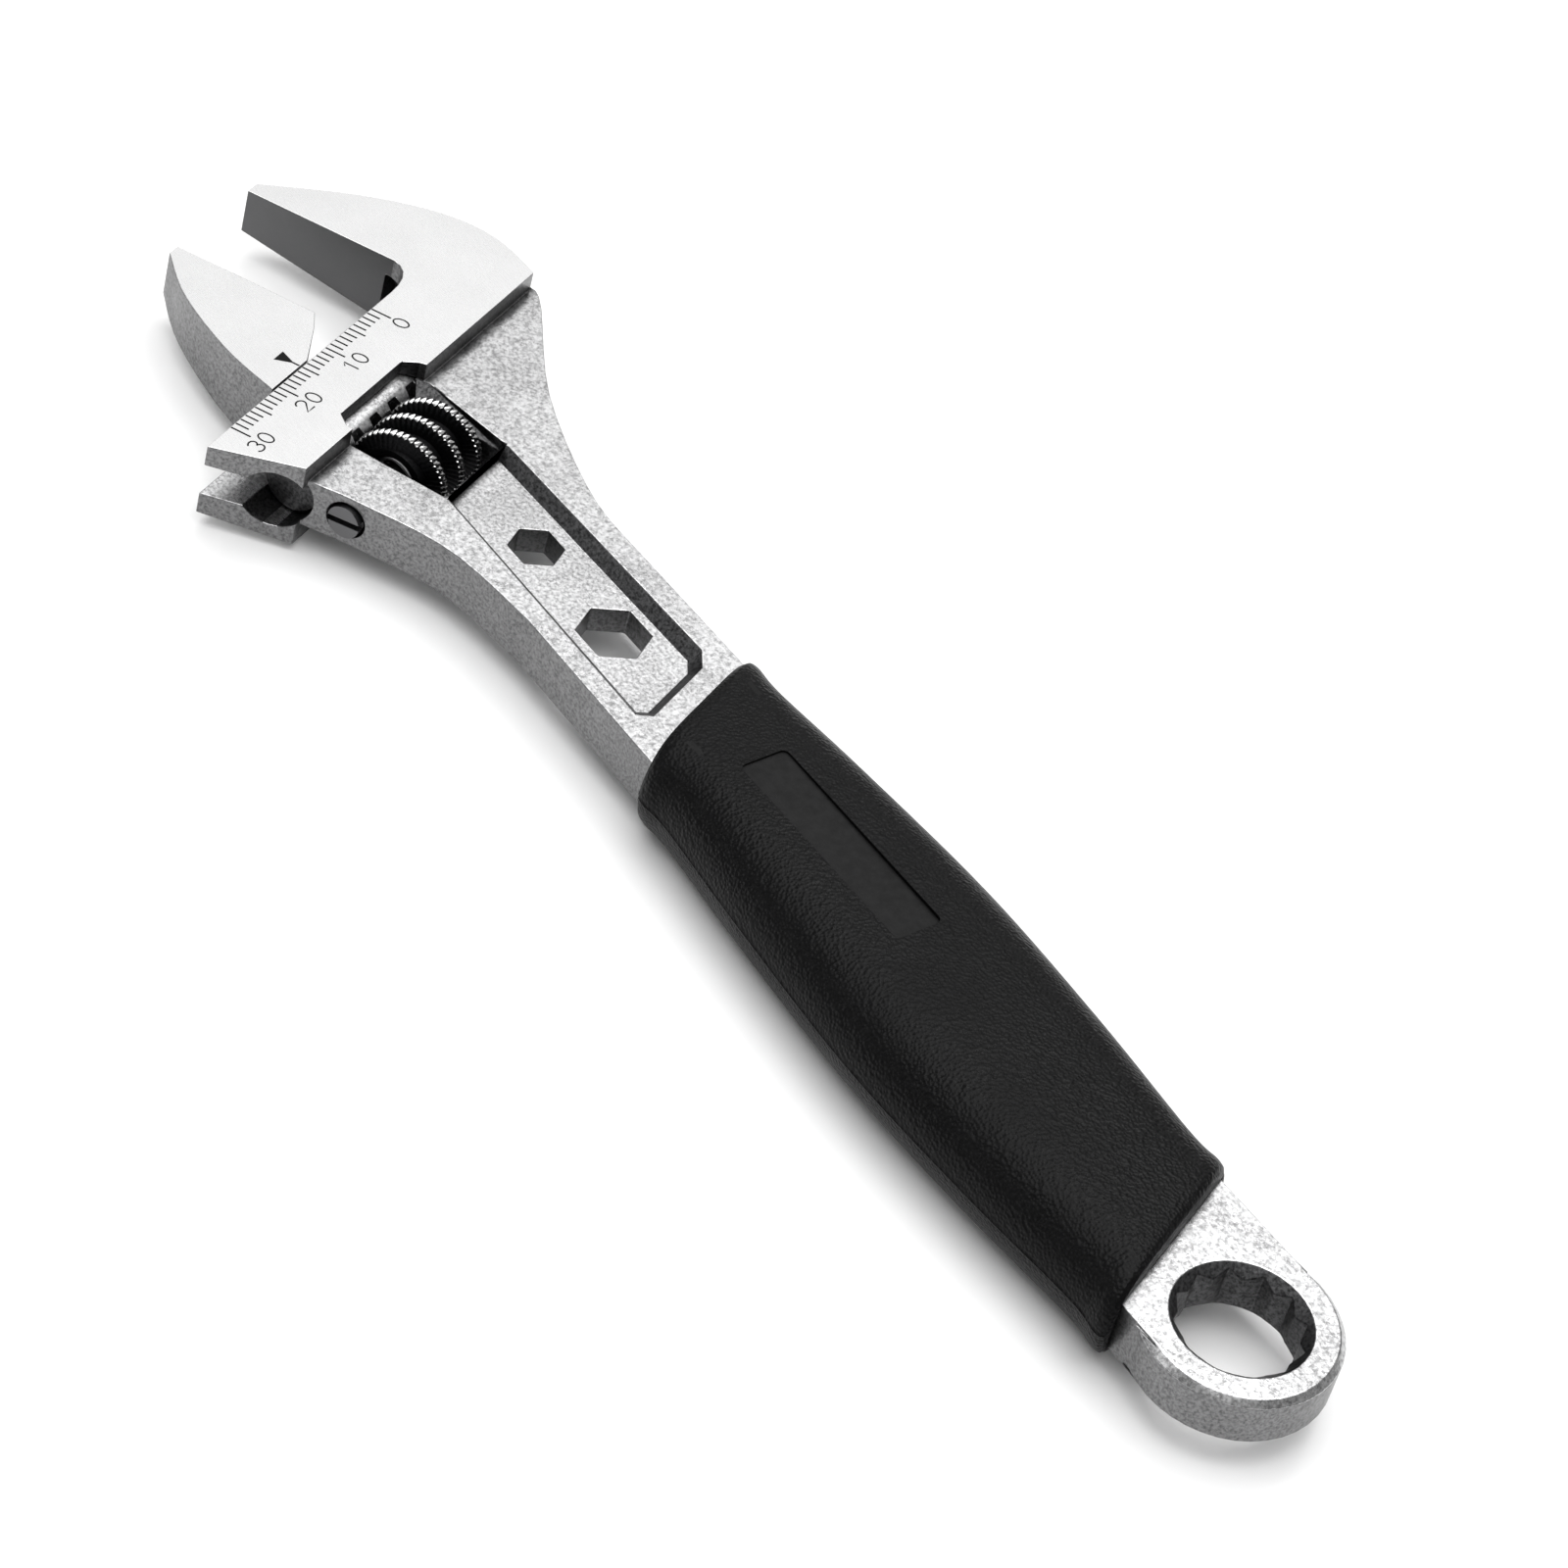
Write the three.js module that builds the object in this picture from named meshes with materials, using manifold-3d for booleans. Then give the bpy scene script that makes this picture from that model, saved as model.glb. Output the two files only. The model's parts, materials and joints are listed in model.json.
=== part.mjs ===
// Adjustable wrench with a moulded grip, a ring spanner end and two hexagon sockets in its shank.
// Millimetres, +Z up. The wrench lies flat: +X runs from the ring end to the jaws.
import * as THREE from 'three';
import { mergeVertices } from 'three/addons/utils/BufferGeometryUtils.js';
import Module from 'manifold-3d';

const wasm = await Module();
wasm.setup();

// ---------- driving dimensions ----------
// While modelling, the origin is the centre of the ring on the forging's middle plane.

// Handle forging
const SHANK_HALF_THICK = 3.5;
const POCKET_FLOOR_HALF = 1.85;
const POCKET_DRAFT = 1.5;
const POCKET_HALF_WIDTH = 6.8;
const POCKET_REAR_X = 104.6;
const SHANK_HALF_WIDTH = 9.4;
const NECK_HALF_WIDTH = 10.9;

// Ring end, a twelve-point socket
const RING_RADIUS = 11.7;
const RING_SOCKET_AF = 13;
const RING_CHAMFER_RADIUS = 8.1;
const RING_RIM_BEVEL = 0.8;

// Hexagon sockets in the pocket floor
const SMALL_HEX_AF = 6;
const SMALL_HEX_X = 133.3;
const LARGE_HEX_AF = 8;
const LARGE_HEX_X = 117.2;

// Head. S runs in the opening direction, T towards the jaw tips, from the foot of the fixed jaw.
const HEAD_ANGLE = THREE.MathUtils.degToRad(22.5);
const HEAD_X = 178.3;
const HEAD_Y = -12.2;
const HEAD_HALF_THICK = 5.2;
const HEAD_TAPER = 0.08;
const JAW_HEIGHT = 25;
const HEAD_DEPTH = 11.3;
const HEAD_BACK_S = -12.4;
const HEAD_END_TOP_S = 44.8;
const HEAD_END_LOW_S = 40.7;

// Jaw opening and its guides
const REST_OPENING = 15;
const TRAVEL_EACH_WAY = 15;
const CLOSED_GAP = 0.05;
const SLIDE_GAP = 0.25;
const SLOT_HALF_WIDTH = 2.2;
const THROAT_RELIEF_S = 3;
const THROAT_RELIEF_T = 4;
const STEM_T = -8.4;
const STEM_RADIUS = 3.7;
const STEM_GAP = 0.3;
const STEM_START_S = 7.5;
const STEM_END_S = 38;
const WEB_END_S = 33;
const JAW_BASE_LENGTH = 15.8;

// Adjusting worm, right-handed
const WORM_RADIUS = 6.2;
const THREAD_PITCH = 3.9;
const THREAD_DEPTH = 2;
const RACK_TIP_GAP = 0.36;
const WORM_T = STEM_T - STEM_RADIUS - RACK_TIP_GAP - (WORM_RADIUS - THREAD_DEPTH);
const THREAD_CREST = 1;
const THREAD_FLANK = Math.tan(THREE.MathUtils.degToRad(15));
const THREAD_PHASE_S = 24.4;
const WORM_START_S = 17.5;
const WORM_LENGTH = 11.4;
const WORM_END_PLAY = 0.3;
const MESH_GAP = 0.3;
const WINDOW_MARGIN = 2.14;
const WINDOW_END_T = WORM_T - WORM_RADIUS - WINDOW_MARGIN;
const NOTCH_T = -8.6;

// Worm pin, a slotted screw, and the spring that takes up its play
const PIN_RADIUS = 1.7;
const PIN_GAP = 0.3;
const PIN_START_S = 9;
const PIN_HEAD_RADIUS = 2.2;
const PIN_HEAD_LENGTH = 4;
const PIN_END_S = 39.3;
const PIN_SLOT_WIDTH = 0.8;
const PIN_SLOT_DEPTH = 1;
const PIN_SLOT_TURN = THREE.MathUtils.degToRad(8);
const SPRING_WIRE = 0.35;
const SPRING_TURNS = 3.5;
const SPRING_POCKET_RADIUS = 3.3;
const SPRING_POCKET_DEPTH = 5;

// Moulded grip. Stations run along the handle: distance, half width and half thickness.
const GRIP_STATIONS = [
  [12.0, 12.9, 6.6],
  [13.6, 13.3, 6.9],
  [18.5, 12.9, 7.0],
  [36.0, 14.2, 7.2],
  [57.0, 14.8, 7.2],
  [80.0, 13.2, 7.1],
  [94.0, 11.8, 6.9],
  [98.8, 12.0, 6.8],
  [100.4, 11.5, 6.4],
];
// The section is flat across the top and falls away in sloping shoulders.
const GRIP_FLATNESS = 5;
const GRIP_SHOULDER = 1.6;
const GRIP_GAP = 0.3;
const LABEL_CENTRE_X = 74;
const LABEL_LENGTH = 30;
const LABEL_WIDTH = 6.6;
const LABEL_DEPTH = 0.5;
const LABEL_CORNER = 0.8;

// Facets per full turn
const ROUND = 32;
const FINE_ROUND = 40;
const GRIP_FACETS = 36;
const CUT_REACH = 20;

// ---------- solids ----------

function toSolid(geometry) {
  const bare = geometry.index ? geometry.clone() : geometry;
  bare.deleteAttribute('normal');
  bare.deleteAttribute('uv');
  const merged = mergeVertices(bare, 1e-4);
  return new wasm.Manifold(new wasm.Mesh({
    numProp: 3,
    vertProperties: new Float32Array(merged.attributes.position.array),
    triVerts: new Uint32Array(merged.index.array),
  }));
}

function toGeometry(solid) {
  const mesh = solid.getMesh();
  const geometry = new THREE.BufferGeometry();
  geometry.setAttribute('position', new THREE.BufferAttribute(new Float32Array(mesh.vertProperties), 3));
  geometry.setIndex(new THREE.BufferAttribute(new Uint32Array(mesh.triVerts), 1));
  geometry.computeVertexNormals();
  return geometry;
}

function union(...solids) {
  return solids.reduce((whole, solid) => whole.add(solid));
}

function cut(solid, ...tools) {
  return tools.reduce((left, tool) => left.subtract(tool), solid);
}

// Joins rings of equal point count into one closed skin with flat ends.
function loft(rings, cap) {
  const count = rings[0].length;
  const points = rings.flat();
  const index = [];
  for (let r = 0; r < rings.length - 1; r += 1) {
    for (let i = 0; i < count; i += 1) {
      const a = r * count + i;
      const b = r * count + ((i + 1) % count);
      index.push(a, b, b + count, a, b + count, a + count);
    }
  }
  const last = (rings.length - 1) * count;
  for (const [a, b, c] of THREE.ShapeUtils.triangulateShape(cap, [])) {
    index.push(a, c, b);
    index.push(last + a, last + b, last + c);
  }
  const geometry = new THREE.BufferGeometry().setFromPoints(points);
  geometry.setIndex(index);
  return geometry;
}

function anticlockwise(points) {
  return THREE.ShapeUtils.isClockWise(points) ? [...points].reverse() : points;
}

function prism(points, low, high) {
  const geometry = new THREE.ExtrudeGeometry(new THREE.Shape(points), {
    depth: high - low,
    bevelEnabled: false,
    curveSegments: 1,
  });
  return toSolid(geometry.translate(0, 0, low));
}

// A prism whose outline changes evenly from its lower end to its upper end.
function taperedPrism(lowPoints, highPoints, low, high) {
  const lower = anticlockwise(lowPoints);
  const upper = anticlockwise(highPoints);
  const rings = [
    lower.map((p) => new THREE.Vector3(p.x, p.y, low)),
    upper.map((p) => new THREE.Vector3(p.x, p.y, high)),
  ];
  return toSolid(loft(rings, lower));
}

function regularPolygon(x, y, radius, sides, turn) {
  return Array.from({ length: sides }, (_, i) => {
    const angle = turn + (i * 2 * Math.PI) / sides;
    return new THREE.Vector2(x + radius * Math.cos(angle), y + radius * Math.sin(angle));
  });
}

// ---------- the head's own directions ----------

const S_AXIS = new THREE.Vector3(-Math.sin(HEAD_ANGLE), Math.cos(HEAD_ANGLE), 0);
const T_AXIS = new THREE.Vector3(Math.cos(HEAD_ANGLE), Math.sin(HEAD_ANGLE), 0);
const Z_AXIS = new THREE.Vector3(0, 0, 1);

function headPoint(s, t) {
  return new THREE.Vector2(
    HEAD_X + s * S_AXIS.x + t * T_AXIS.x,
    HEAD_Y + s * S_AXIS.y + t * T_AXIS.y,
  );
}

function headPoints(pairs) {
  return pairs.map(([s, t]) => headPoint(s, t));
}

// Local X, Y, Z become S, Z and T, so a shape drawn along local X lies along the slide.
function alongSlide(geometry, t) {
  const basis = new THREE.Matrix4().makeBasis(S_AXIS, Z_AXIS, T_AXIS);
  const corner = headPoint(0, t);
  basis.setPosition(corner.x, corner.y, 0);
  return geometry.applyMatrix4(basis);
}

// A round bar or bore along S.
function slideRod(t, radius, from, to, sides = ROUND) {
  const rod = new THREE.CylinderGeometry(radius, radius, to - from, sides);
  rod.rotateZ(Math.PI / 2).translate((from + to) / 2, 0, 0);
  return toSolid(alongSlide(rod, t));
}

// The wedge that the head's two ground faces make.
function headWedge() {
  const half = (t) => HEAD_HALF_THICK - HEAD_TAPER * t;
  const low = -HEAD_DEPTH;
  const high = JAW_HEIGHT + 2;
  const side = new THREE.Shape([
    new THREE.Vector2(half(low), low),
    new THREE.Vector2(half(high), high),
    new THREE.Vector2(-half(high), high),
    new THREE.Vector2(-half(low), low),
  ]);
  const reach = HEAD_END_TOP_S + CUT_REACH;
  const bar = new THREE.ExtrudeGeometry(side, { depth: 2 * reach, bevelEnabled: false });
  const basis = new THREE.Matrix4().makeBasis(Z_AXIS, T_AXIS, S_AXIS);
  const start = headPoint(-reach, 0);
  basis.setPosition(start.x, start.y, 0);
  return toSolid(bar.applyMatrix4(basis));
}

// ---------- wrench body ----------

function headOutline() {
  const back = new THREE.SplineCurve(headPoints([
    [-2, JAW_HEIGHT],
    [-8.4, 14.3],
    [HEAD_BACK_S + 0.3, 4.6],
    [HEAD_BACK_S, -3.6],
    [HEAD_BACK_S + 3, -HEAD_DEPTH],
  ]));
  const throat = new THREE.QuadraticBezierCurve(headPoint(5.6, 0), headPoint(0.6, 0), headPoint(0, 3.2));
  return [
    ...back.getPoints(20),
    headPoint(HEAD_END_LOW_S, -HEAD_DEPTH),
    headPoint(HEAD_END_TOP_S, 0),
    ...throat.getPoints(5),
    headPoint(0, JAW_HEIGHT),
  ];
}

function shankOutline() {
  const upper = new THREE.SplineCurve([
    headPoint(HEAD_END_LOW_S - 1, -HEAD_DEPTH + 0.5),
    headPoint(HEAD_END_LOW_S - 1.4, -13.3),
    new THREE.Vector2(147.3, 16.8),
    new THREE.Vector2(135.7, 11.2),
    new THREE.Vector2(122, SHANK_HALF_WIDTH),
  ]);
  const lower = new THREE.SplineCurve([
    new THREE.Vector2(126, -SHANK_HALF_WIDTH - 0.4),
    new THREE.Vector2(137, -SHANK_HALF_WIDTH - 1),
    new THREE.Vector2(154, -16),
    headPoint(HEAD_BACK_S + 4.2, -13.6),
    headPoint(HEAD_BACK_S + 3, -HEAD_DEPTH + 0.5),
  ]);
  return [
    ...upper.getPoints(18),
    new THREE.Vector2(0, NECK_HALF_WIDTH),
    new THREE.Vector2(0, -NECK_HALF_WIDTH),
    ...lower.getPoints(18),
  ];
}

function ringEnd() {
  const half = SHANK_HALF_THICK;
  const rim = RING_RADIUS - RING_RIM_BEVEL;
  const profile = [
    new THREE.Vector2(0, -half),
    new THREE.Vector2(rim, -half),
    new THREE.Vector2(RING_RADIUS, -half + RING_RIM_BEVEL),
    new THREE.Vector2(RING_RADIUS, half - RING_RIM_BEVEL),
    new THREE.Vector2(rim, half),
    new THREE.Vector2(0, half),
  ];
  return toSolid(new THREE.LatheGeometry(profile, FINE_ROUND).rotateX(Math.PI / 2));
}

function ringSocket() {
  const corner = RING_SOCKET_AF / 2 / Math.cos(Math.PI / 6);
  const valley = RING_SOCKET_AF / 2 / Math.cos(Math.PI / 12);
  const star = Array.from({ length: 24 }, (_, i) => {
    const radius = i % 2 ? valley : corner;
    const angle = (i * Math.PI) / 12;
    return new THREE.Vector2(radius * Math.cos(angle), radius * Math.sin(angle));
  });
  return prism(star, -CUT_REACH, CUT_REACH);
}

function ringChamfer(side) {
  const spread = RING_CHAMFER_RADIUS - RING_SOCKET_AF / 2;
  const face = SHANK_HALF_THICK;
  const profile = [
    new THREE.Vector2(0, face - spread),
    new THREE.Vector2(RING_SOCKET_AF / 2, face - spread),
    new THREE.Vector2(RING_CHAMFER_RADIUS + 1, face + 1),
    new THREE.Vector2(0, face + 1),
  ];
  const cone = new THREE.LatheGeometry(profile, FINE_ROUND).rotateX(side * Math.PI / 2);
  return toSolid(cone);
}

function hexSocket(x, acrossFlats) {
  const hexagon = regularPolygon(x, 0, acrossFlats / 2 / Math.cos(Math.PI / 6), 6, 0);
  return prism(hexagon, -CUT_REACH, CUT_REACH);
}

function windowEnds() {
  return {
    near: WORM_START_S - WORM_END_PLAY,
    far: WORM_START_S + WORM_LENGTH + WORM_END_PLAY,
  };
}

function windowThrough() {
  const { near, far } = windowEnds();
  return prism(headPoints([
    [near, NOTCH_T], [near, WINDOW_END_T], [far, WINDOW_END_T], [far, NOTCH_T],
  ]), -CUT_REACH, CUT_REACH);
}

// The forging opens out towards both faces around the window and the notch above it.
function windowMouth(side) {
  const { near, far } = windowEnds();
  const inner = headPoints([
    [near, WINDOW_END_T], [far, WINDOW_END_T], [far, -12], [far, NOTCH_T - 0.8],
    [far - 0.8, NOTCH_T], [near + 0.8, NOTCH_T], [near, NOTCH_T - 0.8], [near, -12],
  ]);
  const outer = headPoints([
    [near + 0.2, WINDOW_END_T], [far + 1.4, WINDOW_END_T], [far + 1.6, -12], [far + 1.6, NOTCH_T - 1.8],
    [far + 0.2, NOTCH_T], [near - 0.9, NOTCH_T], [near - 2.2, NOTCH_T - 1.8], [near - 2.6, -12],
  ]);
  const floor = side * POCKET_FLOOR_HALF;
  const face = side * SHANK_HALF_THICK;
  const rise = side * CUT_REACH;
  const slope = side > 0 ? taperedPrism(inner, outer, floor, face) : taperedPrism(outer, inner, face, floor);
  return union(slope, prism(outer, Math.min(face, rise), Math.max(face, rise)));
}

function pocketOutline(inset) {
  const half = POCKET_HALF_WIDTH - inset;
  const slant = Math.tan(HEAD_ANGLE);
  const rear = POCKET_REAR_X + inset;
  const round = 1.8 - inset * 0.4;
  const { near, far } = windowEnds();
  return [
    new THREE.Vector2(rear - (half - round) * slant, half - round),
    new THREE.Vector2(rear - half * slant + round, half),
    headPoint(far + 1.4 - inset, WINDOW_END_T - 0.4),
    headPoint(far + 1.4 - inset, WINDOW_END_T + 2),
    headPoint(near + 0.2 + inset, WINDOW_END_T + 2),
    headPoint(near + 0.2 + inset, WINDOW_END_T - 0.4),
    new THREE.Vector2(rear + half * slant + round, -half),
    new THREE.Vector2(rear + (half - round) * slant, -half + round),
  ];
}

function pocket(side) {
  const inner = pocketOutline(POCKET_DRAFT);
  const outer = pocketOutline(0);
  const floor = side * POCKET_FLOOR_HALF;
  const face = side * (SHANK_HALF_THICK + 0.01);
  return side > 0 ? taperedPrism(inner, outer, floor, face) : taperedPrism(outer, inner, face, floor);
}

function pinHole() {
  const shoulder = PIN_END_S - PIN_HEAD_LENGTH - PIN_GAP;
  return union(
    slideRod(WORM_T, PIN_RADIUS + PIN_GAP, PIN_START_S - PIN_GAP, shoulder + 1, 24),
    slideRod(WORM_T, PIN_HEAD_RADIUS + PIN_GAP, shoulder, PIN_END_S + CUT_REACH, 24),
  );
}

function jawGuide() {
  const closedStart = STEM_START_S - TRAVEL_EACH_WAY - STEM_GAP;
  const slot = prism(headPoints([
    [-THROAT_RELIEF_S, STEM_T], [HEAD_END_TOP_S + CUT_REACH, STEM_T],
    [HEAD_END_TOP_S + CUT_REACH, THROAT_RELIEF_T], [-THROAT_RELIEF_S, THROAT_RELIEF_T],
  ]), -SLOT_HALF_WIDTH, SLOT_HALF_WIDTH);
  const bore = slideRod(STEM_T, STEM_RADIUS + STEM_GAP, closedStart, HEAD_END_TOP_S + CUT_REACH);
  return union(slot, bore);
}

function wrenchBody() {
  const head = prism(headOutline(), -CUT_REACH, CUT_REACH).intersect(headWedge());
  const shank = prism(shankOutline(), -SHANK_HALF_THICK, SHANK_HALF_THICK);
  return cut(
    union(head, shank, ringEnd()),
    jawGuide(),
    windowThrough(),
    windowMouth(1),
    windowMouth(-1),
    pocket(1),
    pocket(-1),
    hexSocket(SMALL_HEX_X, SMALL_HEX_AF),
    hexSocket(LARGE_HEX_X, LARGE_HEX_AF),
    pinHole(),
    ringSocket(),
    ringChamfer(1),
    ringChamfer(-1),
  );
}

// ---------- movable jaw ----------

function rackTool(s) {
  const halfAt = (t) => THREAD_CREST / 2 + Math.max(0, WORM_T + WORM_RADIUS - t) * THREAD_FLANK + MESH_GAP;
  const root = WORM_T + WORM_RADIUS + MESH_GAP;
  const tip = STEM_T - STEM_RADIUS - 1;
  const lean = THREAD_PITCH / (2 * Math.PI * WORM_RADIUS);
  const reach = STEM_RADIUS + 1;
  const tooth = (z) => headPoints([
    [s - halfAt(root) - lean * z, root], [s - halfAt(tip) - lean * z, tip],
    [s + halfAt(tip) - lean * z, tip], [s + halfAt(root) - lean * z, root],
  ]);
  return taperedPrism(tooth(-reach), tooth(reach), -reach, reach);
}

function movableJaw() {
  const face = REST_OPENING + CLOSED_GAP;
  const base = face + JAW_BASE_LENGTH;
  const back = new THREE.SplineCurve(headPoints([
    [face + 1.8, JAW_HEIGHT],
    [face + 7.5, 18.8],
    [face + 12.9, 9],
    [base, SLIDE_GAP],
  ]));
  const block = prism([
    ...back.getPoints(14),
    headPoint(face + 8.4, SLIDE_GAP),
    headPoint(face + 2.5, 3.2),
    headPoint(face, 4.8),
    headPoint(face, JAW_HEIGHT),
  ], -CUT_REACH, CUT_REACH).intersect(headWedge());
  const web = prism(headPoints([
    [face, STEM_T], [WEB_END_S, STEM_T], [WEB_END_S, -2], [base - 1, SLIDE_GAP + 1],
    [face + 8.6, SLIDE_GAP + 1], [face + 7.4, -1], [face, -1],
  ]), -SLOT_HALF_WIDTH + SLIDE_GAP, SLOT_HALF_WIDTH - SLIDE_GAP);
  const stem = slideRod(STEM_T, STEM_RADIUS, STEM_START_S, STEM_END_S);
  const first = Math.ceil((STEM_START_S - THREAD_PHASE_S) / THREAD_PITCH);
  const last = Math.floor((STEM_END_S - THREAD_PHASE_S) / THREAD_PITCH);
  const grooves = [];
  for (let i = first; i <= last; i += 1) {
    grooves.push(rackTool(THREAD_PHASE_S + i * THREAD_PITCH));
  }
  return cut(union(block, web, stem), ...grooves);
}

// ---------- adjusting worm ----------

// The thread leans away along S as it turns from T up to Z: a right-handed helix about S.
function wormThread() {
  const stepsPerTurn = 28;
  const turns = WORM_LENGTH / THREAD_PITCH + 3;
  const steps = Math.ceil(turns * stepsPerTurn);
  const root = WORM_RADIUS - THREAD_DEPTH - 0.4;
  const rootHalf = THREAD_CREST / 2 + (WORM_RADIUS - root) * THREAD_FLANK;
  const section = [[root, -rootHalf], [WORM_RADIUS, -THREAD_CREST / 2],
    [WORM_RADIUS, THREAD_CREST / 2], [root, rootHalf]];
  const rings = [];
  for (let i = 0; i <= steps; i += 1) {
    const angle = ((i - steps / 2) / stepsPerTurn) * 2 * Math.PI;
    const s = THREAD_PHASE_S - (THREAD_PITCH * angle) / (2 * Math.PI);
    rings.push(section.map(([radius, offset]) => {
      const p = headPoint(s + offset, WORM_T + radius * Math.cos(angle));
      return new THREE.Vector3(p.x, p.y, radius * Math.sin(angle));
    }));
  }
  return toSolid(loft(rings, section.map(([r, o]) => new THREE.Vector2(r, o))));
}

function adjustingWorm() {
  const end = WORM_START_S + WORM_LENGTH;
  const core = slideRod(WORM_T, WORM_RADIUS - THREAD_DEPTH, WORM_START_S, end);
  const envelope = slideRod(WORM_T, WORM_RADIUS + 1, WORM_START_S, end);
  const threaded = union(core, wormThread().intersect(envelope));
  return cut(
    threaded,
    slideRod(WORM_T, PIN_RADIUS + PIN_GAP, WORM_START_S - 1, end + 1, 24),
    slideRod(WORM_T, SPRING_POCKET_RADIUS, end - SPRING_POCKET_DEPTH, end + 1),
  );
}

// ---------- worm pin and spring ----------

function wormPin() {
  const slot = new THREE.BoxGeometry(2 * PIN_SLOT_DEPTH, PIN_SLOT_WIDTH, PIN_HEAD_RADIUS * 3);
  slot.rotateX(PIN_SLOT_TURN).translate(PIN_END_S, 0, 0);
  return cut(
    union(
      slideRod(WORM_T, PIN_RADIUS, PIN_START_S, PIN_END_S - 1, 24),
      slideRod(WORM_T, PIN_HEAD_RADIUS, PIN_END_S - PIN_HEAD_LENGTH, PIN_END_S, 24),
    ),
    toSolid(alongSlide(slot, WORM_T)),
  );
}

function wormSpring() {
  const from = WORM_START_S + WORM_LENGTH - SPRING_POCKET_DEPTH + PIN_GAP + SPRING_WIRE;
  const to = WORM_START_S + WORM_LENGTH - SPRING_WIRE;
  const coil = SPRING_POCKET_RADIUS - PIN_GAP - SPRING_WIRE;
  const steps = Math.ceil(SPRING_TURNS * 14);
  const route = Array.from({ length: steps + 1 }, (_, i) => {
    const angle = (i / steps) * SPRING_TURNS * 2 * Math.PI;
    return new THREE.Vector3(from + ((to - from) * i) / steps, coil * Math.sin(angle), coil * Math.cos(angle));
  });
  const wire = new THREE.Shape(regularPolygon(0, 0, SPRING_WIRE, 6, 0));
  const geometry = new THREE.ExtrudeGeometry(wire, {
    steps,
    extrudePath: new THREE.CatmullRomCurve3(route),
    bevelEnabled: false,
  });
  return toSolid(alongSlide(geometry, WORM_T));
}

// ---------- grip ----------

function gripSection(station, halfWidth, halfThick) {
  const slant = Math.tan(HEAD_ANGLE);
  return Array.from({ length: GRIP_FACETS }, (_, i) => {
    const angle = (i / GRIP_FACETS) * 2 * Math.PI;
    const bulge = (value, power) => Math.sign(value) * Math.abs(value) ** (2 / power);
    const y = halfWidth * bulge(Math.cos(angle), GRIP_FLATNESS);
    return new THREE.Vector3(station - y * slant, y, halfThick * bulge(Math.sin(angle), GRIP_SHOULDER));
  });
}

function gripShell() {
  const rings = GRIP_STATIONS.map(([station, width, thick]) => gripSection(station, width, thick));
  const cap = rings[0].map((p) => new THREE.Vector2(p.y, p.z));
  return toSolid(loft(rings, cap));
}

function labelRecess(side) {
  const length = LABEL_LENGTH / 2;
  const width = LABEL_WIDTH / 2;
  const corners = [[1, 1, 0], [-1, 1, 1], [-1, -1, 2], [1, -1, 3]];
  const outline = corners.flatMap(([sx, sy, quarter]) => [0, 1, 2].map((step) => {
    const angle = ((quarter + step / 2) * Math.PI) / 2;
    return new THREE.Vector2(
      LABEL_CENTRE_X + sx * (length - LABEL_CORNER) + LABEL_CORNER * Math.cos(angle),
      sy * (width - LABEL_CORNER) + LABEL_CORNER * Math.sin(angle),
    );
  }));
  const thickest = Math.max(...GRIP_STATIONS.map((row) => row[2]));
  const floor = side * (thickest - LABEL_DEPTH);
  const rise = side * CUT_REACH;
  return prism(outline, Math.min(floor, rise), Math.max(floor, rise));
}

function gripCavity() {
  const grown = (half) => half + GRIP_GAP;
  const far = LARGE_HEX_X;
  return prism([
    new THREE.Vector2(0, grown(NECK_HALF_WIDTH)),
    new THREE.Vector2(0, -grown(NECK_HALF_WIDTH)),
    new THREE.Vector2(far, -grown(SHANK_HALF_WIDTH + 0.5)),
    new THREE.Vector2(far, grown(SHANK_HALF_WIDTH)),
  ], -grown(SHANK_HALF_THICK), grown(SHANK_HALF_THICK));
}

function gripSleeve() {
  return cut(gripShell(), gripCavity(), labelRecess(1), labelRecess(-1));
}

// ---------- assembly ----------

const chrome = new THREE.MeshStandardMaterial({ color: 0xc9cacc, roughness: 0.35, metalness: 1 });
const ground = new THREE.MeshStandardMaterial({ color: 0xd8d9da, roughness: 0.3, metalness: 1 });
const blackened = new THREE.MeshStandardMaterial({ color: 0x2a2a2c, roughness: 0.45, metalness: 1 });
const springSteel = new THREE.MeshStandardMaterial({ color: 0x8e8f92, roughness: 0.4, metalness: 1 });
const softGrip = new THREE.MeshStandardMaterial({ color: 0x161617, roughness: 0.8, metalness: 0 });

function addPiece(group, name, solid, material) {
  const mesh = new THREE.Mesh(toGeometry(solid), material);
  mesh.name = name;
  group.add(mesh);
}

const wrench = new THREE.Group();
addPiece(wrench, 'wrench_body', wrenchBody(), chrome);
addPiece(wrench, 'movable_jaw', movableJaw(), ground);
addPiece(wrench, 'adjusting_worm', adjustingWorm(), blackened);
addPiece(wrench, 'worm_pin', wormPin(), blackened);
addPiece(wrench, 'worm_spring', wormSpring(), springSteel);
addPiece(wrench, 'grip_sleeve', gripSleeve(), softGrip);

// The finished part stands on its lowest face, centred over the origin.
const box = new THREE.Box3().setFromObject(wrench);
const centre = box.getCenter(new THREE.Vector3());
wrench.position.set(-centre.x, -centre.y, -box.min.z);

export default wrench;
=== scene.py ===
import json
import math

import bmesh
import bpy
from bpy.props import FloatProperty, FloatVectorProperty, IntProperty, PointerProperty
from mathutils import Matrix, Vector


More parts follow.
